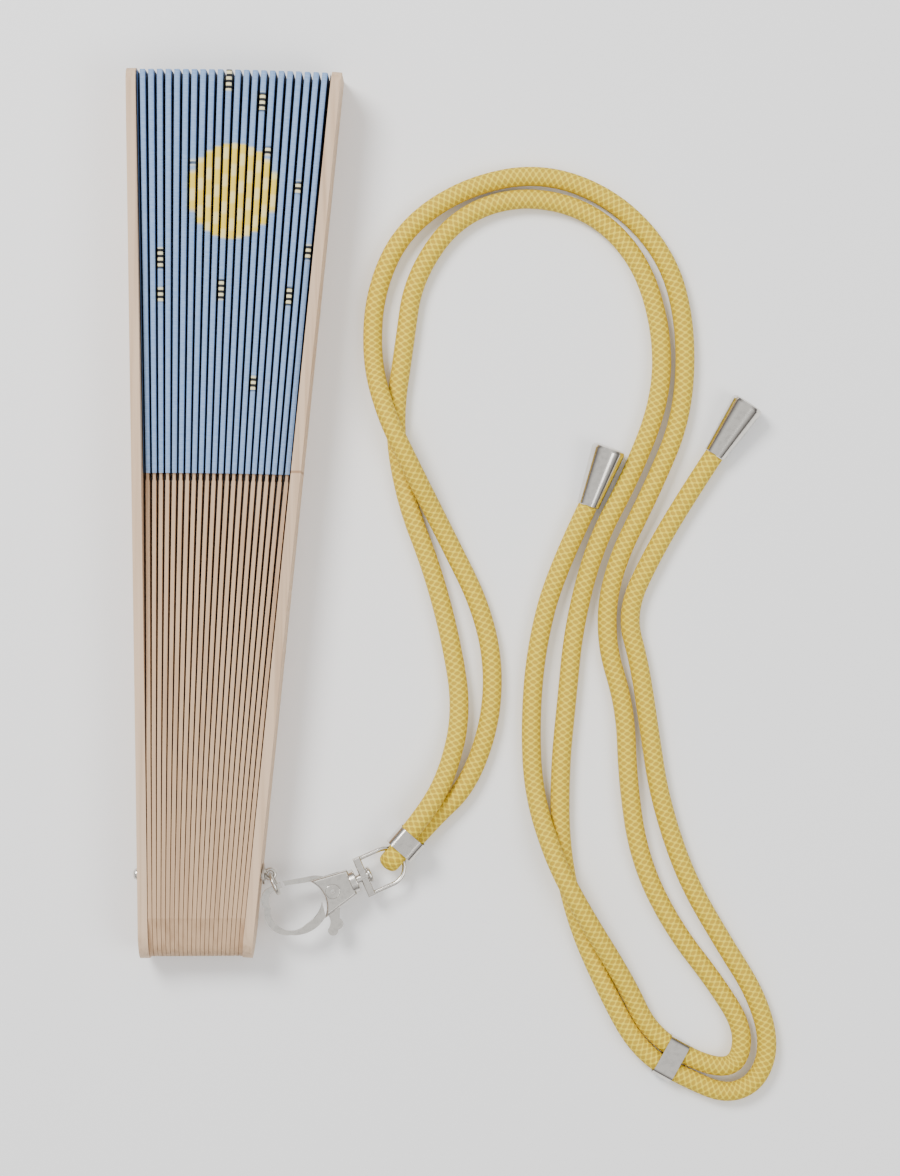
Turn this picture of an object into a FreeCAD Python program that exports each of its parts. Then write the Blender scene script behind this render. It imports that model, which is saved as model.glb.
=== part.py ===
import FreeCAD, Part
import math
import os
import Sketcher
from FreeCAD import Placement, Rotation, Vector

doc = FreeCAD.newDocument("folding_fan")

# ---------------------------------------------------------------------------------------------
# Driving dimensions, in millimetres and degrees. The origin is on the table, on the lower edge
# of the guard that carries the eye, straight below the rivet. The fan lies closed on its long
# edge, its tips towards +Y, and the clasp and cord lie beside it towards +X.
# ---------------------------------------------------------------------------------------------
DIMENSIONS = {
    "stick_count": 22,
    "rivet_height": 8,
    "rivet_radius": 1.2,
    "rivet_clearance": 0.15,
    "guard_thickness": 2.5,
    "guard_length": 208,
    "guard_height": 16,
    "guard_tip_height": 18.5,
    "guard_tip_radius": 4,
    "guard_tail_radius": 7.5,
    "tail_length": 21.7,
    "tail_facet": 10.7,
    "stick_thickness": 0.98,
    "stick_pitch": 1.195,
    "stick_margin": 0.3,
    "stick_tail_drop": 3.2,
    "stick_tail_radius": 5,
    "guard_gap": 0.2,
    "taper_start": 30,
    "rib_thickness": 0.7,
    "rib_width": 5.4,
    "rib_end": 203,
    "eye_side_tilt": 5.85,
    "far_side_tilt": -0.75,
    "leaf_start": 104,
    "leaf_end": 207.5,
    "leaf_fabric": 0.2,
    "leaf_clearance": 0.05,
    "ridge_reach": 0.4,
    "ridge_angle": 2.62,
    "valley_angle": -1.08,
    "fan_step": 7.4,
    "washer_radius": 2.65,
    "washer_thickness": 0.5,
    "washer_gap": 0.09,
    "dome_radius": 1.6,
    "dome_height": 1.1,
    "flange_radius": 2.7,
    "flange_thickness": 0.5,
    "flange_gap": 0.3,
    "eye_radius": 1.22,
    "eye_wire": 0.48,
    "eye_neck": 0.8,
    "ring_radius": 2.75,
    "ring_wire": 0.5,
    "clasp_yaw": 23.5,
    "clasp_pitch": 4.5,
    "clasp_nose_u": -13.0,
    "nose_reach": 1.5,
    "clasp_nose_v": 6.9,
    "nose_in_ring": 0.9,
    "hook_depth": 2.4,
    "hook_wire": 1.45,
    "body_depth": 4.4,
    "slot_depth": 1.7,
    "gate_depth": 1.4,
    "gate_wire": 1.2,
    "gate_tip_gap": 0.7,
    "pin_radius": 1.1,
    "pin_bore": 0.6,
    "pin_clearance": 0.06,
    "pin_head_radius": 1.9,
    "pin_head_height": 0.35,
    "spring_wire": 0.3,
    "spring_turns": 2,
    "neck_start": 5.6,
    "flange_u": 6.9,
    "neck_radius": 1.25,
    "neck_flange_radius": 3.1,
    "bail_base_start": 7.9,
    "bail_base_thickness": 2,
    "bail_half_width": 5.4,
    "bail_wire": 0.58,
    "bail_shoulder": 15.2,
    "bail_end": 20.6,
    "bail_clearance": 0.08,
    "head_radius": 2.1,
    "head_thickness": 1,
    "cord_radius": 2.5,
    "band_length": 5.4,
    "band_wall": 0.4,
    "band_clearance": 0.06,
    "cord_fold_width": 5.4,
    "cord_fold_thickness": 3.3,
    "fold_clearance": 0.3,
    "fold_slack": 1.4,
    "ferrule_length": 16.3,
    "ferrule_mouth_radius": 2.95,
    "ferrule_end_radius": 4.45,
    "ferrule_bore_clearance": 0.2,
    "ferrule_bore_depth": 9,
    "ferrule_edge": 1,
}

sheet = doc.addObject("Spreadsheet::Sheet", "dims")
for row, (name, value) in enumerate(DIMENSIONS.items(), start=1):
    sheet.set("A%d" % row, name)
    sheet.set("B%d" % row, str(value))
    sheet.setAlias("B%d" % row, name)
doc.recompute()


def size(name):
    """The value of a named cell."""
    return float(getattr(sheet, name))


def cell(text):
    """An expression whose words are cells of the sheet."""
    out, word = "", ""
    for letter in text + " ":
        if letter.isalnum() or letter == "_":
            word += letter
            continue
        out += "dims." + word if word in DIMENSIONS else word
        out, word = out + letter, ""
    return out.strip()


SUBPARTS = []


def keep(thing, label):
    """Name a finished sub-part, which gives its file's name."""
    thing.Label = label
    SUBPARTS.append(thing)
    return thing


def new_body(label):
    return keep(doc.addObject("PartDesign::Body", "body_" + label), label)


def plane(body, role):
    return next(f for f in body.Origin.OriginFeatures if f.Role == role)


def new_sketch(body, role, offset=None):
    sketch = body.newObject("Sketcher::SketchObject", "sketch")
    sketch.AttachmentSupport = [(plane(body, role), "")]
    sketch.MapMode = "FlatFace"
    if offset is not None:
        sketch.AttachmentOffset = Placement(Vector(0, 0, 0), Rotation())
        sketch.setExpression(".AttachmentOffset.Base.z", cell(offset))
    return sketch


def outline(sketch, corners):
    """A closed polygon whose corners are pairs of expressions on the sheet's cells."""
    count = len(corners)
    first = sketch.GeometryCount
    spots = []
    for across, up in corners:
        spots.append(Vector(value_of(across), value_of(up), 0))
    for i in range(count):
        sketch.addGeometry(Part.LineSegment(spots[i], spots[(i + 1) % count]), False)
    for i in range(count):
        sketch.addConstraint(
            Sketcher.Constraint("Coincident", first + i, 2, first + (i + 1) % count, 1))
    for i, (across, up) in enumerate(corners):
        for kind, text, value in (("DistanceX", across, spots[i].x), ("DistanceY", up, spots[i].y)):
            if abs(value) < 1e-9:
                value = 0.0
            number = sketch.addConstraint(Sketcher.Constraint(kind, -1, 1, first + i, 1, value))
            sketch.setExpression("Constraints[%d]" % number, cell(text))


def round_hole(sketch, across, up, radius):
    """A circle with its centre and radius bound to the sheet."""
    spot = Vector(value_of(across), value_of(up), 0)
    shape = Part.Circle(spot, Vector(0, 0, 1), value_of(radius))
    index = sketch.addGeometry(shape, False)
    for kind, text, value in (("DistanceX", across, spot.x), ("DistanceY", up, spot.y)):
        number = sketch.addConstraint(Sketcher.Constraint(kind, -1, 1, index, 3, value))
        sketch.setExpression("Constraints[%d]" % number, cell(text))
    number = sketch.addConstraint(Sketcher.Constraint("Radius", index, value_of(radius)))
    sketch.setExpression("Constraints[%d]" % number, cell(radius))


def value_of(text):
    """The number that an expression on the cells gives."""
    out, word = "", ""
    probe = doc.getObject("probe") or doc.addObject("App::FeaturePython", "probe")
    if "value" not in probe.PropertiesList:
        probe.addProperty("App::PropertyFloat", "value")
    probe.setExpression("value", cell(text))
    probe.recompute()
    return float(probe.value)


def pad(body, sketch, thickness, midplane=True):
    feature = body.newObject("PartDesign::Pad", "pad")
    feature.Profile = sketch
    feature.setExpression("Length", cell(thickness))
    feature.Midplane = midplane
    return feature


def edge_names(shape, wanted):
    """Names of the straight or round edges of a shape whose middle point passes a test."""
    return ["Edge%d" % (i + 1) for i, e in enumerate(shape.Edges) if wanted(e)]


def fillet(body, base, wanted, radius):
    doc.recompute()
    feature = body.newObject("PartDesign::Fillet", "fillet")
    feature.Base = (base, edge_names(base.Shape, wanted))
    feature.setExpression("Radius", cell(radius))
    return feature


def along_x_at(spots):
    """A test for edges that run along X through one of the given (y, z) places."""
    def test(edge):
        if len(edge.Vertexes) != 2:
            return False
        a, b = edge.Vertexes[0].Point, edge.Vertexes[1].Point
        if abs(a.x - b.x) < 1e-6 or math.hypot(a.y - b.y, a.z - b.z) > 1e-6:
            return False
        return any(math.hypot(a.y - y, a.z - z) < 0.01 for y, z in spots)
    return test


def solid_feature(label, shape, placement=None):
    """A sub-part whose shape is made with Part's own functions from the sheet's sizes."""
    feature = doc.addObject("Part::Feature", "part_" + label)
    feature.Shape = shape
    if placement is not None:
        feature.Placement = placement
    return keep(feature, label)


# ------------------------------------------------------------------ guards, sticks and leaf
LAST = int(DIMENSIONS["stick_count"]) + 1
LEAN = math.radians(0.5 * (size("ridge_angle") + size("valley_angle")))


def tilt_of(index):
    """Splay angle of a stick, from the eye's guard, 0, to the far guard."""
    share = index / LAST
    return size("eye_side_tilt") + share * (size("far_side_tilt") - size("eye_side_tilt"))


def x_of(index):
    """Place of a stick along the rivet."""
    if index == 0:
        return 0.0
    to_first = 0.5 * (size("guard_thickness") + size("stick_thickness")) + size("guard_gap")
    if index < LAST:
        return -(to_first + (index - 1) * size("stick_pitch"))
    return -(2 * to_first + (LAST - 2) * size("stick_pitch"))


def stick_placement(index):
    """On the rivet's axis, turned about the vertical by the splay."""
    return Placement(Vector(x_of(index), 0, size("rivet_height")),
                     Rotation(Vector(0, 0, 1), -tilt_of(index)))


def make_guard(label, index):
    body = new_body(label)
    sketch = new_sketch(body, "YZ_Plane")
    outline(sketch, [
        ("-tail_length", "-rivet_height"),
        ("guard_length", "-rivet_height"),
        ("guard_length", "guard_tip_height - rivet_height"),
        ("taper_start", "guard_height - rivet_height"),
        ("-tail_length", "guard_height - rivet_height"),
    ])
    round_hole(sketch, "0", "0", "rivet_radius + rivet_clearance")
    base = pad(body, sketch, "guard_thickness")
    low, high = -size("rivet_height"), size("guard_height") - size("rivet_height")
    tail = fillet(body, base, along_x_at([(-size("tail_length"), low), (-size("tail_length"), high)]),
                  "guard_tail_radius")
    tip = size("guard_tip_height") - size("rivet_height")
    fillet(body, tail, along_x_at([(size("guard_length"), tip)]), "guard_tip_radius")
    body.Placement = stick_placement(index)
    return body


def rib_middle(reach):
    """Height over the rivet's axis of a rib's centre line."""
    return reach * math.sin(LEAN)


def make_stick(label, index):
    body = new_body(label)
    sketch = new_sketch(body, "YZ_Plane")
    edge = "(rivet_height - stick_margin)"
    middle = "leaf_start * sin(0.5 * (ridge_angle + valley_angle))"
    end_middle = "rib_end * sin(0.5 * (ridge_angle + valley_angle))"
    outline(sketch, [
        ("-tail_facet", "-" + edge),
        ("taper_start", "-" + edge),
        ("leaf_start - 2", middle + " - rib_width / 2"),
        ("leaf_start - 2", middle + " + rib_width / 2"),
        ("taper_start", edge),
        ("-tail_facet", edge),
        ("0.5 - tail_length", edge + " - stick_tail_drop"),
        ("0.5 - tail_length", "stick_tail_drop - " + edge),
    ])
    round_hole(sketch, "0", "0", "rivet_radius + rivet_clearance")
    base = pad(body, sketch, "stick_thickness")
    rib = new_sketch(body, "YZ_Plane")
    outline(rib, [
        ("leaf_start - 3", middle + " - rib_width / 2 + 0.02"),
        ("rib_end", end_middle + " - rib_width / 2 + 0.3"),
        ("rib_end", end_middle + " + rib_width / 2 - 0.3"),
        ("leaf_start - 3", middle + " + rib_width / 2 - 0.02"),
    ])
    thin = pad(body, rib, "rib_thickness")
    corner = size("rivet_height") - size("stick_margin") - size("stick_tail_drop")
    tail = 0.5 - size("tail_length")
    fillet(body, thin, along_x_at([(tail, corner), (tail, -corner)]), "stick_tail_radius")
    body.Placement = stick_placement(index)
    return body


def make_pleat(label, index):
    """The fold of the leaf over one stick: a panel on each side, joined along the ridge."""
    body = new_body(label)
    ends = []
    for place in ("leaf_start", "leaf_end"):
        sketch = new_sketch(body, "XZ_Plane", "-" + place)
        right_in = "rib_thickness / 2 + leaf_clearance"
        left_in = "-(rib_thickness / 2 + ridge_reach)"
        top = place + " * sin(ridge_angle)"
        low = place + " * sin(valley_angle)"
        outline(sketch, [
            (right_in, low),
            (right_in + " + leaf_fabric", low),
            (right_in + " + leaf_fabric", top),
            (left_in + " - leaf_fabric", top),
            (left_in + " - leaf_fabric", low),
            (left_in, low),
            (left_in, top + " - leaf_fabric"),
            (right_in, top + " - leaf_fabric"),
        ])
        ends.append(sketch)
    loft = body.newObject("PartDesign::AdditiveLoft", "loft")
    loft.Profile = ends[0]
    loft.Sections = [ends[1]]
    loft.Ruled = True
    body.Placement = stick_placement(index)
    return body


make_guard("guard_eye", 0)
for k in range(1, LAST):
    make_stick("stick_%02d" % k, k)
make_guard("guard_far", LAST)
for k in range(1, LAST):
    make_pleat("leaf_pleat_%02d" % k, k)


# ------------------------------------------------------------------ rivet, washer and ring
def far_face():
    """Place along X of the far guard's outer face at the washer's rim, its outermost point."""
    slope = abs(math.tan(math.radians(tilt_of(LAST))))
    return x_of(LAST) - 0.5 * size("guard_thickness") - size("washer_radius") * slope


def eye_face():
    slope = abs(math.tan(math.radians(tilt_of(0))))
    return 0.5 * size("guard_thickness") + size("flange_radius") * slope


def revolved(points):
    """A solid turned about the X axis from (x, radius) points."""
    spots = [Vector(a, b, 0) for a, b in points]
    face = Part.Face(Part.makePolygon(spots + [spots[0]]))
    return face.revolve(Vector(0, 0, 0), Vector(1, 0, 0), 360)


AXIS = Placement(Vector(0, 0, size("rivet_height")), Rotation())
WASHER_IN = far_face() - size("washer_gap")
WASHER_OUT = WASHER_IN - size("washer_thickness")
FLANGE_IN = eye_face() + 0.1
FLANGE_OUT = FLANGE_IN + size("flange_thickness")
EYE_X = FLANGE_OUT + size("eye_radius") + size("eye_wire") - 0.25


def make_rivet():
    shank = size("rivet_radius")
    dome_r, dome_h = size("dome_radius"), size("dome_height")
    head = WASHER_OUT - size("washer_gap")
    points = [(head - dome_h, 0)]
    for step in range(1, 7):
        turn = math.radians(15 * step)
        points.append((head - dome_h * math.cos(turn), dome_r * math.sin(turn)))
    points += [(head, shank), (FLANGE_IN, shank), (FLANGE_IN, size("flange_radius")),
               (FLANGE_OUT, size("flange_radius")), (FLANGE_OUT + 0.35, size("eye_neck") + 0.5),
               (FLANGE_OUT + 0.7, size("eye_neck")), (FLANGE_OUT + 0.7, 0)]
    shape = revolved(points)
    eye = Part.makeTorus(size("eye_radius"), size("eye_wire"), Vector(EYE_X, 0, 0))
    hole = Part.makeCylinder(size("eye_radius") - size("eye_wire"), 4, Vector(EYE_X, 0, -2))
    return shape.cut(hole).fuse(eye).removeSplitter()


solid_feature("loop_rivet", make_rivet(), AXIS)
inner = size("rivet_radius") + size("rivet_clearance")
solid_feature("rivet_washer", revolved([
    (WASHER_OUT, inner), (WASHER_OUT + 0.15, size("washer_radius")),
    (WASHER_IN, size("washer_radius")), (WASHER_IN, inner)]), AXIS)

YAW = Rotation(Vector(0, 0, 1), size("clasp_yaw"))
ALONG = YAW.multVec(Vector(1, 0, 0))
ACROSS = YAW.multVec(Vector(0, 1, 0))
EYE = Vector(EYE_X, 0, size("rivet_height"))
RING = EYE - ACROSS * size("ring_radius")
ring = doc.addObject("Part::Torus", "ring")
ring.setExpression("Radius1", cell("ring_radius"))
ring.setExpression("Radius2", cell("ring_wire"))
ring.Placement = Placement(RING, YAW * Rotation(Vector(0, 1, 0), 90))
keep(ring, "jump_ring")

# ------------------------------------------------------------------ clasp, in its own frame
# u runs from the hook to the bail, v across, w up; the gate's pin stands at the frame's origin.
TURN = YAW * Rotation(Vector(0, 1, 0), size("clasp_pitch"))
NOSE = RING - ACROSS * size("nose_in_ring")
PIN = NOSE - TURN.multVec(Vector(size("clasp_nose_u"), size("clasp_nose_v"), 0))
CLASP = Placement(PIN, TURN)


def flat(points, depth):
    """A plate, symmetric about w = 0, from corner points and (through, end) arcs."""
    edges, last = [], Vector(points[0][0], points[0][1], 0)
    start = last
    for item in points[1:]:
        if len(item) == 4:
            end = Vector(item[2], item[3], 0)
            edges.append(Part.Arc(last, Vector(item[0], item[1], 0), end).toShape())
        else:
            end = Vector(item[0], item[1], 0)
            edges.append(Part.LineSegment(last, end).toShape())
        last = end
    if (last - start).Length > 1e-6:
        edges.append(Part.LineSegment(last, start).toShape())
    face = Part.Face(Part.Wire(edges))
    face.translate(Vector(0, 0, -depth / 2))
    return face.extrude(Vector(0, 0, depth))


def wire_solid(edges, radius):
    """A round wire along joined edges."""
    path = Part.Wire(edges)
    first = path.OrderedEdges[0]
    at = first.valueAt(first.FirstParameter)
    tangent = first.tangentAt(first.FirstParameter)
    ends = (path.OrderedVertexes[0].Point - at).Length
    if ends > 1e-6:
        at = first.valueAt(first.LastParameter)
        tangent = first.tangentAt(first.LastParameter) * -1
    circle = Part.Wire(Part.Circle(at, tangent, radius).toShape())
    return path.makePipeShell([circle], True, True)


def rounded_route(points, share=0.45):
    """Straight runs joined by tangent arcs, each as large as its two runs allow."""
    edges, radii = [], []
    last = points[0]
    for i in range(1, len(points) - 1):
        before, here, after = points[i - 1], points[i], points[i + 1]
        back = (before - here).normalize()
        on = (after - here).normalize()
        run = min((before - here).Length, (after - here).Length)
        cut = share * run
        turn = math.pi - back.getAngle(on)
        enter, leave = here + back * cut, here + on * cut
        radius = cut / math.tan(turn / 2)
        bow = (back + on).normalize()
        centre = here + bow * (radius / math.cos(turn / 2))
        middle = centre - bow * radius
        edges.append(Part.LineSegment(last, enter).toShape())
        edges.append(Part.Arc(enter, middle, leave).toShape())
        radii.append(radius)
        last = leave
    edges.append(Part.LineSegment(last, points[-1]).toShape())
    return edges, radii


def make_hook():
    depth, body_depth = size("hook_depth"), size("body_depth")
    half = size("hook_wire") / 2
    nose_u, nose_v = size("clasp_nose_u") + size("nose_reach"), size("clasp_nose_v")
    # the hook: its outer line from the nose round to the body, then its inner line back
    hook = flat([
        (nose_u, nose_v + half), (-15.0, nose_v + half - 0.2),
        (-17.2, 6.4, -18.0, 3.0), (-17.9, -3.4, -14.4, -6.0), (-9.5, -7.2, -4.2, -5.2),
        (-3.6, -1.5), (-5.6, -3.6, -9.5, -5.0),
        (-15.1, -4.4, -16.4, 2.4), (-16.0, 4.6, -14.6, nose_v - half - 0.1), (nose_u, nose_v - half),
    ], depth)
    body = flat([
        (-4.6, 4.9), (size("neck_start"), 3.6), (size("neck_start"), -3.2), (-4.6, -5.6),
        (-2.4, -0.4, -4.6, 4.9),
    ], body_depth)
    rounded = body.makeFillet(0.7, [e for e in body.Edges if abs(e.CenterOfMass.z) > body_depth / 2 - 0.01])
    shape = hook.fuse(rounded)
    slot = flat([(-5.4, 7.5), (3.4, 7.5), (3.4, -8), (-7.2, -8), (-7.2, -3.4), (-5.4, -3.4)], size("slot_depth"))
    shape = shape.cut(slot)
    u_axis = Rotation(Vector(0, 1, 0), 90)
    neck = size("neck_radius")
    flange = Part.makeCylinder(size("neck_flange_radius"), size("flange_u") - size("neck_start") + 0.6,
                               Vector(size("neck_start") - 0.6, 0.1, 0), Vector(1, 0, 0))
    flange = flange.makeFillet(0.3, [e for e in flange.Edges if isinstance(e.Curve, Part.Circle)])
    end = size("bail_base_start") + size("bail_base_thickness") + 2 * size("bail_clearance")
    post = Part.makeCylinder(neck, end + 0.3 - size("neck_start"), Vector(size("neck_start"), 0.1, 0),
                             Vector(1, 0, 0))
    head = Part.makeCylinder(size("head_radius"), size("head_thickness"), Vector(end, 0.1, 0), Vector(1, 0, 0))
    head = head.makeFillet(0.45, [e for e in head.Edges if isinstance(e.Curve, Part.Circle)])
    for piece in (flange, post, head):
        shape = shape.fuse(piece)
    bore = Part.makeCylinder(size("pin_radius") + 0.02, 2 * body_depth, Vector(0, 0, -body_depth))
    sink_r = size("pin_head_radius") + 0.02
    sink_h = size("pin_head_height")
    shape = shape.cut(bore)
    for side in (1, -1):
        low = body_depth / 2 - sink_h if side > 0 else -body_depth / 2 - 1
        shape = shape.cut(Part.makeCylinder(sink_r, 1 + sink_h, Vector(0, 0, low)))
    return shape.removeSplitter()


def make_gate():
    half = size("gate_wire") / 2
    depth = size("gate_depth")
    tip_u = size("clasp_nose_u") + size("nose_reach") + size("gate_tip_gap")
    nose_v = size("clasp_nose_v")
    bar = flat([
        (tip_u, nose_v + half), (-3.0, 5.7), (-0.4, 4.2, 2.0, 0.6), (1.6, -1.6), (-1.1, -7.2),
        (-1.0, -9.2, -2.6, -9.7), (-5.2, -9.8, -5.0, -8.6), (-3.9, -7.6, -3.5, -5.5), (-1.9, -1.2),
        (-2.4, 1.6, -3.4, 4.3), (tip_u, nose_v - half),
    ], depth)
    bore = Part.makeCylinder(size("pin_radius") + size("pin_clearance"), 9, Vector(0, 0, -4.5))
    recess = depth / 2 - 2 * size("spring_wire") - 0.05
    pocket = Part.makeCylinder(2 * size("spring_wire") + 1.35, 3, Vector(0, 0, recess))
    return bar.cut(bore).cut(pocket)


def make_pin():
    half = size("body_depth") / 2
    shape = Part.makeCylinder(size("pin_radius"), 2 * half, Vector(0, 0, -half))
    for low in (half - size("pin_head_height"), -half):
        shape = shape.fuse(Part.makeCylinder(size("pin_head_radius"), size("pin_head_height"), Vector(0, 0, low)))
    rims = [e for e in shape.Edges if isinstance(e.Curve, Part.Circle)
            and abs(abs(e.CenterOfMass.z) - half) < 0.01 and e.Curve.Radius > size("pin_head_radius") - 0.01]
    shape = shape.makeFillet(0.15, rims)
    return shape.cut(Part.makeCylinder(size("pin_bore"), 9, Vector(0, 0, -4.5))).removeSplitter()


def make_spring():
    """A flat torsion spring: its coil stands round the pin, beside the gate."""
    wire = size("spring_wire") / 2
    reach = size("pin_radius") + wire + 0.05
    low = size("gate_depth") / 2 - 3 * wire
    shape = None
    for turn in range(int(size("spring_turns"))):
        coil = Part.makeTorus(reach, wire, Vector(0, 0, low + 2 * wire * turn))
        shape = coil if shape is None else shape.fuse(coil)
    top = low + 2 * wire * (size("spring_turns") - 1)
    for at, way in ((low, Vector(-1, 0, 0)), (top, Vector(1, 0, 0))):
        start = Vector(0, reach, at)
        shape = shape.fuse(Part.makeCylinder(wire, 1.1, start, way))
    return shape.removeSplitter()


def make_bail():
    start, thick = size("bail_base_start") + size("bail_clearance"), size("bail_base_thickness")
    half_width, wire = size("bail_half_width"), size("bail_wire")
    side = half_width - wire
    base = Part.makeBox(thick, 2 * half_width, 2.6, Vector(start, 0.1 - half_width, -1.3))
    base = base.makeFillet(0.4, [e for e in base.Edges if abs(e.CenterOfMass.z) > 1.29])
    bore = Part.makeCylinder(size("neck_radius") + size("bail_clearance"), 9, Vector(start - 3, 0.1, 0),
                             Vector(1, 0, 0))
    base = base.cut(bore)
    shoulder, end = size("bail_shoulder"), size("bail_end") - wire
    path = [Part.LineSegment(Vector(start + 0.6, 0.1 + side, 0), Vector(shoulder, 0.1 + side, 0)).toShape(),
            Part.Arc(Vector(shoulder, 0.1 + side, 0), Vector(end, 0.1, 0),
                     Vector(shoulder, 0.1 - side, 0)).toShape(),
            Part.LineSegment(Vector(shoulder, 0.1 - side, 0), Vector(start + 0.6, 0.1 - side, 0)).toShape()]
    return base.fuse(wire_solid(path, wire)).removeSplitter()


solid_feature("clasp_hook", make_hook(), CLASP)
solid_feature("clasp_gate", make_gate(), CLASP)
solid_feature("clasp_pin", make_pin(), CLASP)
solid_feature("clasp_spring", make_spring(), CLASP)
solid_feature("clasp_bail", make_bail(), CLASP)


# ------------------------------------------------------------------ cord and what is on it
# Corners of the cord's route, from the bail's band to each ferrule, as (x, y, height).
R = size("cord_radius")
LOW = R + 0.05
OVER = 8.2
ROUTE_A = [
    (39.705, 7.114, 3.05), (45.22, 13.46, 2.95), (55.6, 23.2, LOW), (62, 44, LOW), (60, 66, LOW), (48, 90, LOW),
    (39.6, 106.6, OVER), (33.4, 119.5, OVER), (29.6, 134, LOW), (30.6, 152, LOW), (38, 168, LOW),
    (54, 179, LOW), (74, 183, LOW), (93, 176, LOW), (107, 161, LOW), (112, 142, LOW),
    (111, 119, LOW), (103, 100, LOW), (92.5, 79, LOW), (90.5, 61, LOW), (96, 43, LOW),
    (96.6, 24, LOW), (99.6, 3.5, LOW), (108, -14, LOW), (120, -29.5, LOW), (127, -41, LOW),
    (125.4, -50.6, LOW), (117.27, -50.74, 3.02), (102.55, -42.58, 3.02), (96, -28.4, 4), (84.3, -9.6, OVER),
    (77, 4.2, OVER), (71.8, 21.5, LOW), (71.2, 41, LOW), (72.9, 59.5, LOW), (77.7, 78, LOW),
    (86.2, 95.7, 3.05),
]
ROUTE_B = [
    (37.905, 8.674, 7.75), (43.42, 15.02, 7.5), (49.6, 25.6, 4.4), (53.4, 42, LOW), (50.5, 60.5, LOW),
    (45.6, 79, LOW), (38.6, 97, LOW), (35.3, 117, LOW), (38.3, 138, LOW), (40.6, 155, LOW),
    (51.5, 171, LOW), (68.5, 177, LOW), (87, 173, LOW), (100, 160, LOW), (105.7, 141, LOW),
    (105.2, 123, LOW), (97.6, 103.6, LOW), (88, 85.5, LOW), (82.6, 64.5, LOW), (80.7, 45, LOW),
    (78.9, 27, LOW), (79, 6, LOW), (83, -12.5, LOW), (90.3, -29.5, LOW), (99.58, -46.88, 3.02),
    (112.87, -54.25, 3.02), (122.8, -58.2, LOW), (130.6, -54.6, LOW), (133.8, -45, LOW), (130.2, -32, LOW),
    (121, -17.5, LOW), (111.6, -1.2, LOW), (105, 19, LOW), (102.4, 36, LOW), (99.8, 54, LOW),
    (96, 68, LOW), (103.6, 84, LOW), (112.6, 99, LOW), (119.2, 109, 3.05),
]
ferrule_ends = {"a": (91.8, 111), "b": (128, 122.5)}


def make_cord(label, route):
    points = [Vector(*p) for p in route]
    edges, radii = rounded_route(points)
    shape = wire_solid(edges, R)
    length = sum(e.Length for e in edges)
    runs = [(points[i + 1] - points[i]).Length for i in range(len(points) - 1)]
    ratio = shape.Volume / (math.pi * R * R * length)
    print(label, "length %.1f" % length, "volume ratio %.4f" % ratio, "lowest %.2f" % shape.optimalBoundingBox(False).ZMin)
    print("  radii", " ".join("%.0f" % r for r in radii))
    print("  runs", " ".join("%.0f" % r for r in runs))
    return solid_feature(label, shape)


def heading(start, end):
    """Turns +X on to the line from one point to another, level side up."""
    way = (end - start).normalize()
    side = Vector(0, 0, 1).cross(way).normalize()
    return Rotation(way, side, way.cross(side), "XYZ")


BAND_GAP = R + size("band_clearance")
START_A, START_B = Vector(*ROUTE_A[0]), Vector(*ROUTE_B[0])
BAND = Placement((START_A + START_B) * 0.5, heading(Vector(0, 0, 0), Vector(0.656, 0.755, 0)))
TO_A, TO_B = (BAND.inverse().multVec(p) for p in (START_A, START_B))


def hollow_band(first, second, reach, wall, length, flat_corner):
    """A tube of rounded section round two cords whose centres are given across the band."""
    (y0, y1), (z0, z1) = sorted((first.y, second.y)), sorted((first.z, second.z))
    def block(grow, long, corner):
        box = Part.makeBox(long, y1 - y0 + 2 * grow, z1 - z0 + 2 * grow, Vector(-long / 2, y0 - grow, z0 - grow))
        return box.makeFillet(corner, [e for e in box.Edges if abs(e.tangentAt(e.FirstParameter).x) > 0.99])
    return block(reach + wall, length, flat_corner + wall).cut(block(reach, length + 2, flat_corner))


band = hollow_band(TO_A, TO_B, BAND_GAP, size("band_wall"), size("band_length"), 0.85 * R)
solid_feature("bail_band", band, BAND)


def make_fold():
    """The cord's middle, pressed flat where it is doubled round the bail's wire."""
    thick, wide = size("cord_fold_thickness"), size("cord_fold_width")
    hole = size("bail_wire") + size("fold_clearance")
    outer = hole + thick
    centre = BAND.inverse().multVec(WIRE_SPOT)
    long = -centre.x + size("fold_slack")
    edges = [
        Part.LineSegment(Vector(0, 0, outer), Vector(-long, 0, outer)).toShape(),
        Part.Arc(Vector(-long, 0, outer), Vector(-long - outer, 0, 0), Vector(-long, 0, -outer)).toShape(),
        Part.LineSegment(Vector(-long, 0, -outer), Vector(0, 0, -outer)).toShape(),
        Part.LineSegment(Vector(0, 0, -outer), Vector(0, 0, -hole)).toShape(),
        Part.LineSegment(Vector(0, 0, -hole), Vector(-long, 0, -hole)).toShape(),
        Part.Arc(Vector(-long, 0, -hole), Vector(-long - hole, 0, 0), Vector(-long, 0, hole)).toShape(),
        Part.LineSegment(Vector(-long, 0, hole), Vector(0, 0, hole)).toShape(),
        Part.LineSegment(Vector(0, 0, hole), Vector(0, 0, outer)).toShape(),
    ]
    face = Part.Face(Part.Wire(edges))
    face.translate(Vector(-0.06, -wide / 2, 0))
    shape = face.extrude(Vector(0, wide, 0))
    around = [e for e in shape.Edges if isinstance(e.Curve, Part.Circle) and e.Curve.Radius > outer - 0.01]
    around += [e for e in shape.Edges if isinstance(e.Curve, Part.Line)
               and abs(abs(e.CenterOfMass.z) - outer) < 0.01 and abs(abs(e.CenterOfMass.y) - wide / 2) < 0.01]
    return shape.makeFillet(0.4 * thick, around)


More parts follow.
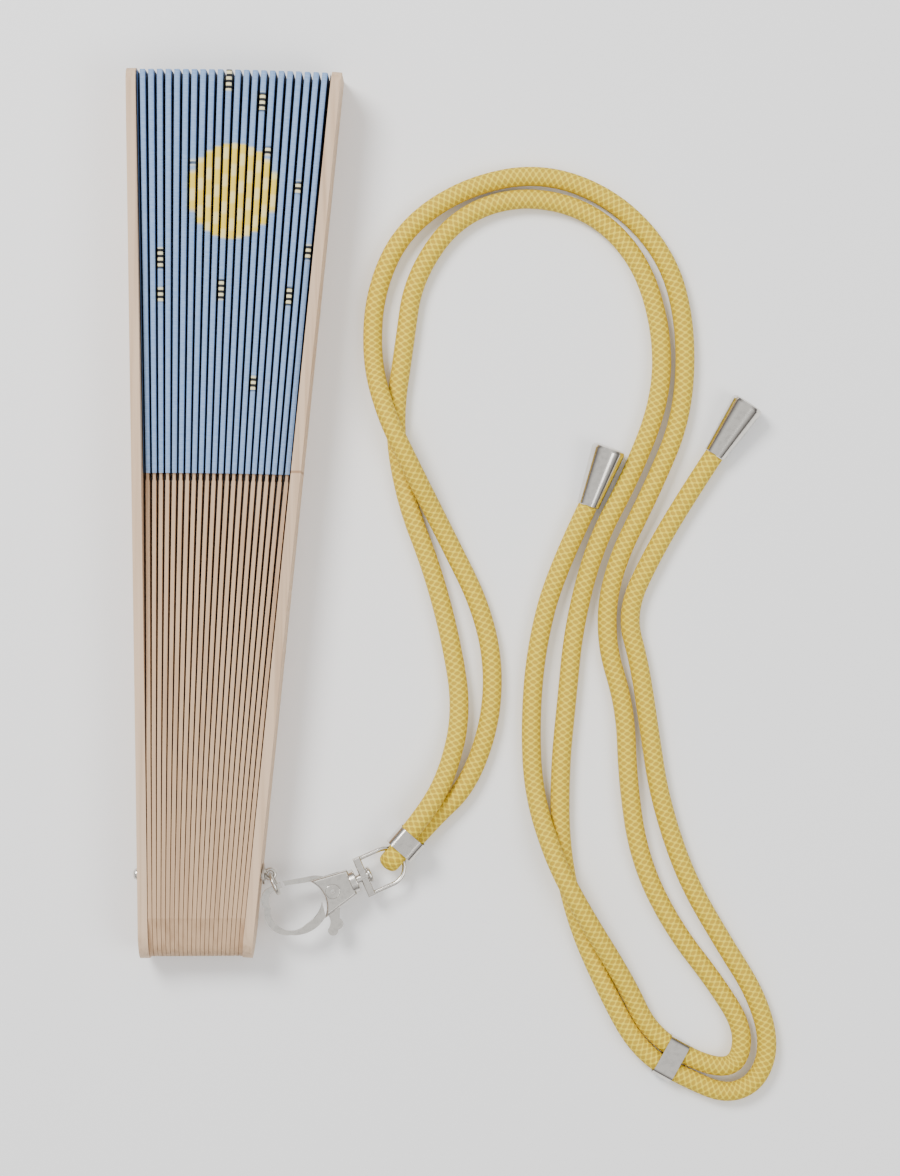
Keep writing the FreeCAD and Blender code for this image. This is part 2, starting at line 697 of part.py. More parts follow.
def wire_spot():
    """Where the band's axis meets the round of the bail's wire, in the clasp's plane."""
    start = CLASP.inverse().multVec(BAND.Base)
    way = CLASP.Rotation.inverted().multVec(BAND.Rotation.multVec(Vector(-1, 0, 0)))
    centre_u, reach = size("bail_shoulder"), size("bail_half_width") - size("bail_wire")
    a, b = start.x - centre_u, start.y - 0.1
    half = a * way.x + b * way.y
    scale = way.x * way.x + way.y * way.y
    along = (-half - math.sqrt(half * half - scale * (a * a + b * b - reach * reach))) / scale
    return CLASP.multVec(Vector(start.x + along * way.x, start.y + along * way.y, 0))


WIRE_SPOT = wire_spot()
fold_place = Placement(Vector(BAND.Base.x, BAND.Base.y, WIRE_SPOT.z), BAND.Rotation)
solid_feature("cord_fold", make_fold(), fold_place)

slide_a, slide_b = Vector(*ROUTE_A[27]), Vector(*ROUTE_B[25])
way = (Vector(*ROUTE_A[27]) - Vector(*ROUTE_A[28])).normalize()
middle_a = Vector(107.85, -48.49, 3.02) + Vector(0.485, 0.875, 0) * (R + 0.18)
middle_b = Vector(107.85, -48.49, 3.02) - Vector(0.485, 0.875, 0) * (R + 0.18)
SLIDER = Placement((middle_a + middle_b) * 0.5, heading(Vector(0, 0, 0), Vector(0.875, -0.485, 0)))
TO_A2, TO_B2 = (SLIDER.inverse().multVec(p) for p in (middle_a, middle_b))
band = hollow_band(TO_A2, TO_B2, BAND_GAP, size("band_wall"), size("band_length"), 0.85 * R)
solid_feature("slider_band", band, SLIDER)


def make_ferrule():
    long, mouth, wide = size("ferrule_length"), size("ferrule_mouth_radius"), size("ferrule_end_radius")
    edge = size("ferrule_edge")
    shape = revolved([(0, 0), (0, mouth - 0.2), (0.2, mouth), (long - edge, wide),
                      (long - 0.3 * edge, wide - 0.3 * edge), (long, wide - edge), (long, 0)])
    bore = Part.makeCylinder(R + size("ferrule_bore_clearance"), size("ferrule_bore_depth"),
                             Vector(0, 0, 0), Vector(1, 0, 0))
    return shape.cut(bore)


def ferrule_place(route, end):
    mouth = Vector(*route[-1])
    far = Vector(end[0], end[1], size("ferrule_end_radius") + 0.2)
    return Placement(mouth, heading(mouth, far))


FERRULES = [ferrule_place(ROUTE_A, ferrule_ends["a"]), ferrule_place(ROUTE_B, ferrule_ends["b"])]
ferrules = []
for place in FERRULES:
    piece = make_ferrule()
    piece.Placement = place
    ferrules.append(piece)
solid_feature("cord_ferrules", Part.makeCompound(ferrules))

make_cord("cord_a", ROUTE_A)
make_cord("cord_b", ROUTE_B)

doc.recompute()
for thing in SUBPARTS:
    bad = [s for s in thing.State if s in ("Invalid", "Error")]
    if bad or thing.Shape.isNull() or not thing.Shape.isValid():
        raise RuntimeError("%s failed: %s" % (thing.Label, thing.State))
os.makedirs("parts", exist_ok=True)
for thing in SUBPARTS:
    thing.Shape.exportStep("parts/%s.step" % thing.Label)
print("wrote", len(SUBPARTS), "nodes")
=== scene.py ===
"""A closed folding hand fan with a clasp and a cord lanyard, dressed round its CAD frame."""
import math

import bpy
from mathutils import Matrix, Vector


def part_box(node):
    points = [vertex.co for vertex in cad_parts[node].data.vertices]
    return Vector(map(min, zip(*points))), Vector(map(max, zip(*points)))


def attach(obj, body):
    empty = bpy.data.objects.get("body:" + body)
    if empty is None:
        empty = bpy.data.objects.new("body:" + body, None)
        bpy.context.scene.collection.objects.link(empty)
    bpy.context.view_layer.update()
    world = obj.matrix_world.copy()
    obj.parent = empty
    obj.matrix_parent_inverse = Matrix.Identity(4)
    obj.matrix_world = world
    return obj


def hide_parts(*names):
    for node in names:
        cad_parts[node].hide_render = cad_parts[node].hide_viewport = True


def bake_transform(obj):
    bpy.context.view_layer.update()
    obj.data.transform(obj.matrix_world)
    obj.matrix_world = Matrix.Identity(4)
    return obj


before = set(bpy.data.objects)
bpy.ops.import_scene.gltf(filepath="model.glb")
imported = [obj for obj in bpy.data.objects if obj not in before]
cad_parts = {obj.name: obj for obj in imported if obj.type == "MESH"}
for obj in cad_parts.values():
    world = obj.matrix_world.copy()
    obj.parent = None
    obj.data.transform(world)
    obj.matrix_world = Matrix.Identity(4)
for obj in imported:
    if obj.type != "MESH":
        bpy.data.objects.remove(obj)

bl_info = {
    "name": "Folding hand fan",
    "version": (1, 0, 0),
    "blender": (4, 5, 0),
    "location": "3D View > Sidebar > Fan",
    "description": "Leaf, cord and finishes of a closed folding hand fan",
    "category": "Object",
}

MM = 0.001
CLEAR = 0.00006               # cloth's distance from the stick's face
FOLD_LIFT = 0.00022           # how far the cloth bulges over a stick
FOLD_LEAN = 0.0003            # how far the fold reaches past the stick on its left
FOLD_SHARES = (0.0, 0.15, 0.35, 0.5, 0.65, 0.85)
FOLD_SIDES = 20
FOLD_RUN = 5                  # steps along each straight side of the cord's fold
FOLD_TURN = 12                # steps round the bail's wire
FOLD_STEP = 0.0009            # length of cord between two rings of the fold
FLOOR_HALF = 12.0
CAMERA_PLACE = (0.0502, 0.0742, 0.8)
CAMERA_LENS = 122.1
LIGHT_TARGET = (0.05, 0.07, 0)
LAST = 23                     # the far guard's number; the eye guard is 0
LOW, OVER = 2.55, 8.0         # height of a strand's centre on the table and on top of another, mm
ROUTE_A = [
    (39.705, 7.114, 3.05), (45.22, 13.46, 2.95), (55.6, 23.2, LOW), (62, 44, LOW), (60, 66, LOW),
    (48, 90, LOW), (39.6, 106.6, OVER), (33.4, 119.5, OVER), (29.6, 134, LOW), (30.6, 152, LOW),
    (38, 168, LOW), (54, 179, LOW), (74, 183, LOW), (93, 176, LOW), (107, 161, LOW), (112, 142, LOW),
    (111, 119, LOW), (103, 100, LOW), (92.5, 79, LOW), (90.5, 61, LOW), (96, 43, LOW),
    (96.6, 24, LOW), (99.6, 3.5, LOW), (108, -14, LOW), (120, -29.5, LOW), (127, -41, LOW),
    (125.4, -50.6, LOW), (117.27, -50.74, 3.02), (102.55, -42.58, 3.02), (96, -28.4, 4),
    (84.3, -9.6, OVER), (77, 4.2, OVER), (71.8, 21.5, LOW), (71.2, 41, LOW), (72.9, 59.5, LOW),
    (77.7, 78, LOW), (86.2, 95.7, 3.05),
]
ROUTE_B = [
    (37.905, 8.674, 7.75), (43.42, 15.02, 7.5), (49.6, 25.6, 4.4), (53.4, 42, LOW), (50.5, 60.5, LOW),
    (45.6, 79, LOW), (38.6, 97, LOW), (35.3, 117, LOW), (38.3, 138, LOW), (40.6, 155, LOW),
    (51.5, 171, LOW), (68.5, 177, LOW), (87, 173, LOW), (100, 160, LOW), (105.7, 141, LOW),
    (105.2, 123, LOW), (97.6, 103.6, LOW), (88, 85.5, LOW), (82.6, 64.5, LOW), (80.7, 45, LOW),
    (78.9, 27, LOW), (79, 6, LOW), (83, -12.5, LOW), (90.3, -29.5, LOW), (99.58, -46.88, 3.02),
    (112.87, -54.25, 3.02), (122.8, -58.2, LOW), (130.6, -54.6, LOW), (133.8, -45, LOW),
    (130.2, -32, LOW), (121, -17.5, LOW), (111.6, -1.2, LOW), (105, 19, LOW), (102.4, 36, LOW),
    (99.8, 54, LOW), (96, 68, LOW), (103.6, 84, LOW), (112.6, 99, LOW), (119.2, 109, 3.05),
]


# ------------------------------------------------------------------ settings
class LeafSettings(bpy.types.PropertyGroup):
    """Sizes of the sticks' stack and of the leaf, in metres and degrees."""
    rivet_height: bpy.props.FloatProperty(default=0.008)
    guard_thickness: bpy.props.FloatProperty(default=0.002)
    stick_thickness: bpy.props.FloatProperty(default=0.00098)
    guard_gap: bpy.props.FloatProperty(default=0.0002)
    stick_pitch: bpy.props.FloatProperty(default=0.001195)
    eye_tilt: bpy.props.FloatProperty(default=5.85)
    far_tilt: bpy.props.FloatProperty(default=-0.75)
    rib_half: bpy.props.FloatProperty(default=0.00035)
    start: bpy.props.FloatProperty(default=0.104)
    end: bpy.props.FloatProperty(default=0.2075)
    ridge_angle: bpy.props.FloatProperty(default=2.62)
    panel_angle: bpy.props.FloatProperty(default=3.7)
    slab: bpy.props.FloatProperty(default=0.0003)
    rows: bpy.props.IntProperty(default=24)
    panel_steps: bpy.props.IntProperty(default=12)


class CordSettings(bpy.types.PropertyGroup):
    """Sizes of the cord and of its pressed fold, in metres."""
    diameter: bpy.props.FloatProperty(default=0.005)
    sides: bpy.props.IntProperty(default=24)
    resolution: bpy.props.IntProperty(default=12)
    fold_width: bpy.props.FloatProperty(default=0.0054)
    fold_thickness: bpy.props.FloatProperty(default=0.0033)
    blend_reach: bpy.props.FloatProperty(default=0.03)


class LookSettings(bpy.types.PropertyGroup):
    """Colours, as linear red, green and blue."""
    guard: bpy.props.FloatVectorProperty(default=(0.66, 0.47, 0.31))
    stick: bpy.props.FloatVectorProperty(default=(0.55, 0.36, 0.21))
    grain: bpy.props.FloatVectorProperty(default=(0.30, 0.16, 0.075))
    # the next two colours are the cloth's blue as lit on the folds' tops and painted shade, near black, down
    # in the folds' valleys
    ridge: bpy.props.FloatVectorProperty(default=(0.19, 0.32, 0.56))
    painted_valley_shade: bpy.props.FloatVectorProperty(default=(0.004, 0.008, 0.04))
    sun: bpy.props.FloatVectorProperty(default=(0.85, 0.62, 0.05))
    cord: bpy.props.FloatVectorProperty(default=(0.86, 0.66, 0.035))
    # the next colour is painted shade for the grooves between the cord's strands
    cord_groove_shade: bpy.props.FloatVectorProperty(default=(0.52, 0.33, 0.01))
    nickel: bpy.props.FloatVectorProperty(default=(0.66, 0.63, 0.58))


# ------------------------------------------------------------------ shader wiring
class Value:
    """A socket that takes part in sums."""

    def __init__(self, graph, socket):
        self.graph = graph
        self.socket = socket

    def __add__(self, other):
        return self.graph.maths("ADD", self, other)

    def __sub__(self, other):
        return self.graph.maths("SUBTRACT", self, other)

    def __mul__(self, other):
        return self.graph.maths("MULTIPLY", self, other)

    def __truediv__(self, other):
        return self.graph.maths("DIVIDE", self, other)

    __radd__ = __add__
    __rmul__ = __mul__


class Graph:
    """Makes the nodes of one tree and joins them."""

    def __init__(self, tree):
        self.tree = tree

    def add(self, kind, inputs=None, output=0, **settings):
        node = self.tree.nodes.new(kind)
        for name, value in settings.items():
            setattr(node, name, value)
        for name, value in (inputs or {}).items():
            if isinstance(value, Value):
                self.tree.links.new(value.socket, node.inputs[name])
            else:
                node.inputs[name].default_value = value
        return Value(self, node.outputs[output]) if node.outputs else node

    def maths(self, operation, *values):
        return self.add("ShaderNodeMath", dict(enumerate(values)), operation=operation)

    def step(self, value, low, high):
        """0 at low, 1 at high and smooth between them."""
        return self.add("ShaderNodeMapRange", {"Value": value, "From Min": low, "From Max": high},
                        interpolation_type="SMOOTHSTEP")

    def mix(self, share, first, second):
        """Two colours mixed; each is three numbers or a colour value."""
        colours = [c if isinstance(c, Value) else (*c, 1) for c in (first, second)]
        return self.add("ShaderNodeMix", {0: share, 6: colours[0], 7: colours[1]}, output=2,
                        data_type="RGBA")

    def parts(self, vector):
        """The three parts of a vector."""
        first = self.add("ShaderNodeSeparateXYZ", {"Vector": vector})
        return [Value(self, s) for s in first.socket.node.outputs]

    def join(self, x, y, z):
        return self.add("ShaderNodeCombineXYZ", {"X": x, "Y": y, "Z": z})

    def place(self):
        """A point of the piece in the row frame, in metres, as three values."""
        return self.parts(self.add("ShaderNodeTexCoord", output="Object"))

    def noise(self, vector, scale, detail=3):
        return self.add("ShaderNodeTexNoise", {"Vector": vector, "Scale": scale, "Detail": detail})

    def attribute(self, name):
        return self.add("ShaderNodeAttribute", output="Fac", attribute_name=name)


def new_material(name, look):
    """A material whose look function returns the values for its one surface shader."""
    made = bpy.data.materials.new(name)
    made.use_nodes = True
    made.node_tree.nodes.clear()
    graph = Graph(made.node_tree)
    values = look(graph)
    height = values.pop("height", None)
    if height is not None:
        depth = values.pop("depth")
        values["Normal"] = graph.add("ShaderNodeBump", {"Height": height, "Strength": 0.6, "Distance": depth})
    if not isinstance(values["Base Color"], Value):
        values["Base Color"] = (*values["Base Color"], 1)
    surface = graph.add("ShaderNodeBsdfPrincipled", values)
    graph.add("ShaderNodeOutputMaterial", {"Surface": surface})
    return made


def wood_look(base, grain, scribe):
    """Bare wood with its grain along Y; scribe adds the thin line across the eye guard's top."""
    def look(graph):
        x, y, z = graph.place()
        fine = graph.noise(graph.join(x * 900, y * 14, z * 900), 1.0, 4)
        broad = graph.noise(graph.join(x * 160, y * 5, z * 160), 1.0, 2)
        share = graph.step(fine * 0.6 + broad * 0.4, 0.42, 0.72)
        colour = graph.mix(share * 0.5, base, grain)
        if scribe:
            line = graph.step(graph.maths("ABSOLUTE", y - scribe), 0.00045, 0.0002)
            colour = graph.mix(line * 0.8, colour, grain)
        return {"Base Color": colour, "Roughness": fine * 0.2 + 0.5, "height": fine, "depth": 0.00012}
    return look


def leaf_look(ridge, painted_valley_shade, sun):
    """Printed cloth: painted light on the folds' tops and painted shade down in their valleys, a broad sun
    and small bees in generic shapes.
    """
    def look(graph):
        fold = graph.attribute("fold")
        reach = graph.attribute("reach")
        top = graph.attribute("top")
        weave = graph.noise(graph.join(fold * 40, reach * 4000, top), 1.0, 2)
        # painted shade: near black down in each fold's valley, the lit blue on its top
        shaded_ground = graph.mix(graph.step(top, 0.55, 0.97), painted_valley_shade, ridge)
        shaded_ground = graph.mix(graph.step(weave, 0.35, 0.8) * 0.35, shaded_ground, (0.5, 0.62, 0.8))
        across = (fold - 11.0) / 5.6
        up = (reach - 0.1765) / 0.0125
        span = across * across + up * up
        ring = graph.step(span, 1.02, 0.9)
        petals = graph.maths("SINE", (fold * 2.4) + (reach * 900))
        disc = graph.mix(graph.step(petals, -0.2, 0.6) * 0.5, sun, (0.9, 0.82, 0.45))
        # the sun shows only on the folds' tops; painted shade covers it in the valleys
        colour = graph.mix(ring * graph.step(top, 0.7, 0.95), shaded_ground, disc)
        cell = graph.join(fold * 0.42, reach * 62, 0.0)
        dots = graph.add("ShaderNodeTexVoronoi", {"Vector": cell, "Scale": 1.0, "Randomness": 1.0})
        body = graph.step(dots, 0.2, 0.15) * graph.step(span, 1.0, 1.15)
        stripe = graph.step(graph.maths("SINE", reach * 4200), -0.2, 0.2)
        bee = graph.mix(stripe, (0.01, 0.01, 0.012), (0.82, 0.74, 0.42))
        # painted shade covers the bees in the valleys too
        colour = graph.mix(body * graph.step(top, 0.72, 0.9), colour, bee)
        return {"Base Color": colour, "Roughness": 0.82, "height": weave, "depth": 0.0001}
    return look


def metal_look(base, roughness):
    """Nickel plating with faint wear."""
    def look(graph):
        x, y, z = graph.place()
        wear = graph.noise(graph.join(x * 700, y * 700, z * 700), 1.0, 3)
        dark = tuple(c * 0.72 for c in base)
        return {"Base Color": graph.mix(graph.step(wear, 0.4, 0.75) * 0.5, base, dark),
                "Roughness": wear * 0.12 + roughness, "Metallic": 1.0}
    return look


def cord_look(base, groove_shade):
    """Woven cord: small strands that cross round it, with painted shade in the grooves between them."""
    def look(graph):
        along = graph.attribute("along")
        around = graph.attribute("around")
        turn = around * (12 * math.pi)
        run = along * (2 * math.pi / 0.0017)
        first = graph.maths("SINE", run + turn)
        second = graph.maths("SINE", run - turn)
        weave = graph.maths("MAXIMUM", first, second)
        crossing = graph.step(first * second, -0.3, 0.7)
        height = weave * 0.5 + crossing * 0.5
        # painted shade: the low grooves between strands take the darker colour
        colour = graph.mix(graph.step(height, 0.1, 0.75), groove_shade, base)
        return {"Base Color": colour, "Roughness": 0.75, "height": height, "depth": 0.0003}
    return look


def floor_look(graph):
    return {"Base Color": (0.93, 0.93, 0.93), "Roughness": 0.6}


# ------------------------------------------------------------------ geometry
def new_mesh(name, verts, faces, material):
    mesh = bpy.data.meshes.new(name)
    mesh.from_pydata([tuple(v) for v in verts], [], faces)
    mesh.polygons.foreach_set("use_smooth", [True] * len(mesh.polygons))
    mesh.materials.append(material)
    made = bpy.data.objects.new(name, mesh)
    bpy.context.scene.collection.objects.link(made)
    return made


def set_values(mesh, name, values):
    """One number for each vertex, which a material reads by its name."""
    mesh.attributes.new(name, "FLOAT", "POINT").data.foreach_set("value", values)


def stick_frame(s, index):
    """Place of a stick, its Y along the stick from the rivet's axis."""
    first = (s.guard_thickness + s.stick_thickness) / 2 + s.guard_gap
    if index == 0:
        x = 0.0
    elif index < LAST:
        x = -(first + (index - 1) * s.stick_pitch)
    else:
        x = -(2 * first + (LAST - 2) * s.stick_pitch)
    tilt = s.eye_tilt + index / LAST * (s.far_tilt - s.eye_tilt)
    return Matrix.Translation((x, 0, s.rivet_height)) @ Matrix.Rotation(-math.radians(tilt), 4, "Z")


def face_of(s, index):
    """How far a stick's face stands from its middle, where the leaf runs."""
    half = s.guard_thickness / 2 if index in (0, LAST) else s.rib_half
    return half + CLEAR


def leaf_section(s, gap, radius):
    """Points across one gap at one radius, each with its fold, height share and place."""
    near, far = stick_frame(s, gap), stick_frame(s, gap + 1)
    ridge = math.radians(s.ridge_angle)
    panel = math.radians(s.panel_angle)
    normal = (near.to_3x3() @ Vector((1, 0, 0)) + far.to_3x3() @ Vector((1, 0, 0))).normalized()

    def on(place, x, angle, lift=0.0):
        return place @ Vector((x, radius * math.cos(angle), radius * math.sin(angle) + lift))

    left = on(near, -face_of(s, gap), ridge)
    right = on(far, face_of(s, gap + 1), ridge)
    middle = (left + right) / 2
    reach = face_of(s, gap)
    points = []
    if gap:
        for share in FOLD_SHARES:
            x = reach - share * 2 * reach - FOLD_LEAN * share
            lift = FOLD_LIFT * math.sin(math.pi * share)
            points.append((on(near, x, ridge, lift), gap - 0.02 + 0.02 * share, 1.0))
    for i in range(s.panel_steps + 1):
        share = i / s.panel_steps
        t = 0.5 - math.sin(math.asin(1 - 2 * share) / 3)
        angle = ridge - share * panel
        base = middle + (on(near, 0, angle) - on(near, 0, ridge))
        points.append((base + normal * s.slab * (0.5 - t), gap + 0.5 * share, 1 - share))
    for i in range(s.panel_steps + 1):
        share = i / s.panel_steps
        angle = ridge - (1 - share) * panel
        points.append((on(far, face_of(s, gap + 1), angle), gap + 0.5 + 0.5 * share, share))
    return points, middle, normal


def build_leaf_gap(s, gap, material):
    """The leaf from one stick's fold to the next stick's."""
    rows = []
    for j in range(s.rows + 1):
        radius = s.start + (s.end - s.start) * j / s.rows
        rows.append((radius, *leaf_section(s, gap, radius)))
    count = len(rows[0][1])
    verts, fold, top, reach = [], [], [], []
    for radius, points, _, _ in rows:
        for place, place_fold, height in points:
            verts.append(place)
            fold.append(place_fold)
            top.append(height)
            reach.append(radius)
    faces = []
    for j in range(s.rows):
        for i in range(count - 1):
            a = j * count + i
            faces.append((a, a + 1, a + count + 1, a + count))
    made = new_mesh("leaf_%02d" % gap, verts, faces, material)
    for name, values in (("fold", fold), ("top", top), ("reach", reach)):
        set_values(made.data, name, values)
    middle, normal = rows[s.rows // 2][2:]
    return made, middle, normal


def route_curve(name, route, resolution):
    """The cord's centre line."""
    data = bpy.data.curves.new(name, "CURVE")
    data.dimensions = "3D"
    data.resolution_u = resolution
    spline = data.splines.new("NURBS")
    spline.points.add(len(route) - 1)
    for point, place in zip(spline.points, route):
        point.co = (place[0] * MM, place[1] * MM, place[2] * MM, 1)
    spline.order_u = 3
    spline.use_endpoint_u = True
    made = bpy.data.objects.new(name, data)
    bpy.context.scene.collection.objects.link(made)
    return made


def line_of(curve):
    """The points of a curve's centre line, in order."""
    bpy.context.view_layer.update()
    mesh = bpy.data.meshes.new_from_object(curve.evaluated_get(bpy.context.evaluated_depsgraph_get()))
    points = [v.co.copy() for v in mesh.vertices]
    bpy.data.meshes.remove(mesh)
    return points


def tube_tree(radius, sides, material):
    """Node tree that sweeps a circle along a curve and keeps the place along and around it."""
    tree = bpy.data.node_groups.new("cord_tube", "GeometryNodeTree")
    tree.interface.new_socket("Geometry", in_out="INPUT", socket_type="NodeSocketGeometry")
    tree.interface.new_socket("Geometry", in_out="OUTPUT", socket_type="NodeSocketGeometry")
    graph = Graph(tree)
    path = graph.add("NodeGroupInput")
    length = graph.add("GeometryNodeSplineParameter", output="Length")
    marked = graph.add("GeometryNodeStoreNamedAttribute",
                       {"Geometry": path, "Name": "along", "Value": length}, domain="POINT")
    circle = graph.add("GeometryNodeCurvePrimitiveCircle", {"Radius": radius, "Resolution": sides})
    factor = graph.add("GeometryNodeSplineParameter", output="Factor")
    ring = graph.add("GeometryNodeStoreNamedAttribute",
                     {"Geometry": circle, "Name": "around", "Value": factor}, domain="POINT")
    tube = graph.add("GeometryNodeCurveToMesh",
                     {"Curve": marked, "Profile Curve": ring, "Fill Caps": True})
    smooth = graph.add("GeometryNodeSetShadeSmooth", {0: tube})
    real = graph.add("GeometryNodeRealizeInstances", {0: smooth})
    dressed = graph.add("GeometryNodeSetMaterial", {"Geometry": real, "Material": material})
    graph.add("NodeGroupOutput", {0: dressed})
    return tree


def swept(name, curve, tree):
    """A plain mesh made by the tree from the curve, which is then removed."""
    modifier = curve.modifiers.new("tube", "NODES")
    modifier.node_group = tree
    bpy.context.view_layer.update()
    mesh = bpy.data.meshes.new_from_object(curve.evaluated_get(bpy.context.evaluated_depsgraph_get()))
    data = curve.data
    bpy.data.objects.remove(curve)
    bpy.data.curves.remove(data)
    mesh.name = name
    made = bpy.data.objects.new(name, mesh)
    bpy.context.scene.collection.objects.link(made)
    return made


def build_fold(s, material):
    """The cord's middle, pressed flat round the bail's wire, as a swept oval."""
    low, high = (Vector(c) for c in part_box("cord_fold"))
    start = (Vector(ROUTE_A[0]) + Vector(ROUTE_B[0])) * (MM / 2)
    way = Vector((ROUTE_A[1][0] - ROUTE_A[0][0], ROUTE_A[1][1] - ROUTE_A[0][1], 0)).normalized()
    side = Vector((-way.y, way.x, 0))
    up = Vector((0, 0, 1))
    centre_z = (low.z + high.z) / 2
    bend = (high.z - low.z) / 2 - s.fold_thickness / 2
    far_corner = max((Vector((x, y, 0)) - Vector((start.x, start.y, 0))).dot(-way)
                     for x in (low.x, high.x) for y in (low.y, high.y))
    straight = min(far_corner, 0.0098) - bend - s.fold_thickness / 2 - 0.0012
    line = []
    for i in range(FOLD_RUN + 1):
        line.append((-straight * i / FOLD_RUN, bend, up))
    for i in range(1, FOLD_TURN):
        angle = math.pi * i / FOLD_TURN
        line.append((-straight - bend * math.sin(angle), bend * math.cos(angle),
                     -way * math.sin(angle) + up * math.cos(angle)))
    for i in range(FOLD_RUN + 1):
        line.append((-straight * (1 - i / FOLD_RUN), -bend, -up))
    verts, along, around, sides = [], [], [], FOLD_SIDES
    for i, (back, height, out) in enumerate(line):
        centre = Vector((start.x, start.y, centre_z)) + way * back + up * height
        for k in range(sides):
            turn = 2 * math.pi * k / sides
            verts.append(centre + side * (s.fold_width / 2 * math.cos(turn))
                         + out * (s.fold_thickness / 2 * math.sin(turn)))
            along.append(i * FOLD_STEP)
            around.append(k / sides)
    faces = [(i * sides + k, i * sides + (k + 1) % sides, (i + 1) * sides + (k + 1) % sides,
              (i + 1) * sides + k) for i in range(len(line) - 1) for k in range(sides)]
    faces += [tuple(range(sides)), tuple(range((len(line) - 1) * sides, len(line) * sides))]
    made = new_mesh("fold_round_bail", verts, faces, material)
    set_values(made.data, "along", along)
    set_values(made.data, "around", around)
    return made


# ------------------------------------------------------------------ stages
class FAN_OT_finishes(bpy.types.Operator):
    """Gives every CAD piece its procedural finish"""
    bl_idname = "fan.finishes"
    bl_label = "Finishes"

    def execute(self, context):
        look = context.scene.fan_look
        scribe = context.scene.fan_leaf.start
        guard = new_material("guard_wood", wood_look(look.guard, look.grain, 0))
        eye = new_material("eye_guard_wood", wood_look(look.guard, look.grain, scribe))
        stick = new_material("stick_wood", wood_look(look.stick, look.grain, 0))
        rivet = new_material("rivet_nickel", metal_look(tuple(look.nickel), 0.22))
        clasp = new_material("clasp_nickel", metal_look(tuple(look.nickel), 0.16))
        bright = new_material("polished_nickel", metal_look(tuple(look.nickel), 0.08))
        finish_of = {"guard_eye": eye, "guard_far": guard, "loop_rivet": rivet, "rivet_washer": rivet,
                     "jump_ring": rivet, "bail_band": bright, "slider_band": bright,
                     "cord_ferrules": bright}
        for name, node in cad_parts.items():
            finish = finish_of.get(name, stick if name.startswith("stick") else clasp)
            node.data.materials.clear()
            node.data.materials.append(finish)
        return {"FINISHED"}


class FAN_OT_leaf(bpy.types.Operator):
    """Builds the pleated leaf, one piece for each gap between sticks"""
    bl_idname = "fan.leaf"
    bl_label = "Leaf"

    def execute(self, context):
        s, look = context.scene.fan_leaf, context.scene.fan_look
        cloth = new_material("printed_cloth", leaf_look(look.ridge, look.painted_valley_shade, look.sun))
        for gap in range(LAST):
            piece, middle, normal = build_leaf_gap(s, gap, cloth)
            if gap:
                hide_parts("leaf_pleat_%02d" % gap)
            middle + normal * s.slab / 2
            middle - normal * s.slab / 2
            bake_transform(piece)
        return {"FINISHED"}


class FAN_OT_cord(bpy.types.Operator):
    """Builds both strands of the cord and its fold round the bail"""
    bl_idname = "fan.cord"
    bl_label = "Cord"

    def execute(self, context):
        s, look = context.scene.fan_cord, context.scene.fan_look
        woven = new_material("woven_cord", cord_look(look.cord, look.cord_groove_shade))
        tree = tube_tree(s.diameter / 2, s.sides, woven)
        for name, route in (("cord_a", ROUTE_A), ("cord_b", ROUTE_B)):
            curve = route_curve(name + "_line", route, s.resolution)
            line = line_of(curve)
            piece = swept(name + "_woven", curve, tree)
            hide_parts(name)
            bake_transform(piece)
        fold = build_fold(s, woven)
        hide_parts("cord_fold")
        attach(fold, "bail")
        return {"FINISHED"}


def area_light(name, place, size, power):
    data = bpy.data.lights.new(name, "AREA")
    data.shape = "DISK"
    data.size = size
    data.energy = power
    made = bpy.data.objects.new(name, data)
    bpy.context.scene.collection.objects.link(made)
    made.location = place
    made.rotation_mode = "QUATERNION"
    made.rotation_quaternion = (Vector(place) - Vector(LIGHT_TARGET)).to_track_quat("Z", "Y")
    return made


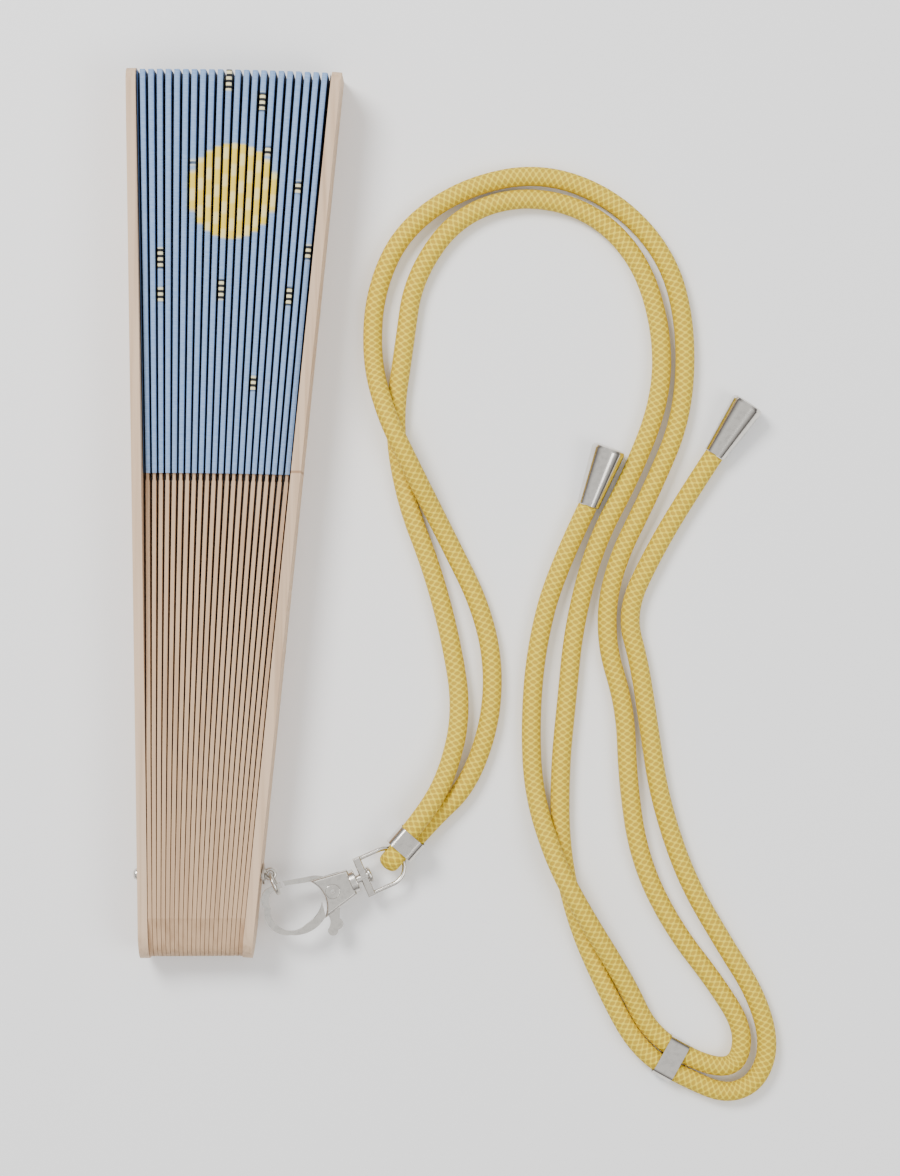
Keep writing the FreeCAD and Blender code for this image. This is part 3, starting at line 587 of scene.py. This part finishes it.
class FAN_OT_studio(bpy.types.Operator):
    """Makes the pale floor, the soft light and the camera straight above"""
    bl_idname = "fan.studio"
    bl_label = "Studio"

    def execute(self, context):
        scene = context.scene
        half = FLOOR_HALF
        floor = new_mesh("floor", [(-half, -half, 0), (half, -half, 0), (half, half, 0), (-half, half, 0)],
                         [(0, 1, 2, 3)], new_material("floor", floor_look))
        world = bpy.data.worlds.new("studio")
        scene.world = world
        world.use_nodes = True
        world.node_tree.nodes.clear()
        graph = Graph(world.node_tree)
        up = graph.parts(graph.add("ShaderNodeTexCoord", output="Generated"))[2]
        sky = graph.mix(graph.step(up, 0.1, 0.75), (0.16, 0.15, 0.15), (1.0, 1.0, 1.0))
        glow = graph.add("ShaderNodeBackground", {"Color": sky, "Strength": 1.05})
        graph.add("ShaderNodeOutputWorld", {"Surface": glow})
        area_light("key", (-0.5, 0.7, 1.0), 0.5, 17)
        area_light("fill", (0.9, -0.3, 1.2), 0.8, 8)
        data = bpy.data.cameras.new("camera")
        data.sensor_fit = "HORIZONTAL"
        data.sensor_width = 36
        data.lens = CAMERA_LENS
        camera = bpy.data.objects.new("camera", data)
        scene.collection.objects.link(camera)
        camera.location = CAMERA_PLACE
        scene.camera = camera
        return {"FINISHED"}


class FAN_PT_panel(bpy.types.Panel):
    """Buttons for the stages"""
    bl_idname = "FAN_PT_panel"
    bl_label = "Folding fan"
    bl_space_type = "VIEW_3D"
    bl_region_type = "UI"
    bl_category = "Fan"

    def draw(self, context):
        for stage in STAGES:
            self.layout.operator(stage.bl_idname)


STAGES = (FAN_OT_finishes, FAN_OT_leaf, FAN_OT_cord, FAN_OT_studio)
SETTINGS = {"fan_leaf": LeafSettings, "fan_cord": CordSettings, "fan_look": LookSettings}


def register():
    for kind in (*SETTINGS.values(), *STAGES, FAN_PT_panel):
        bpy.utils.register_class(kind)
    for name, kind in SETTINGS.items():
        setattr(bpy.types.Scene, name, bpy.props.PointerProperty(type=kind))


def unregister():
    for name in SETTINGS:
        delattr(bpy.types.Scene, name)
    for kind in (FAN_PT_panel, *reversed(STAGES), *SETTINGS.values()):
        bpy.utils.unregister_class(kind)


def main():
    register()
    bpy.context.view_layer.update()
    bpy.ops.fan.finishes()
    bpy.ops.fan.leaf()
    bpy.ops.fan.cord()
    bpy.ops.fan.studio()


if __name__ == "__main__":
    main()
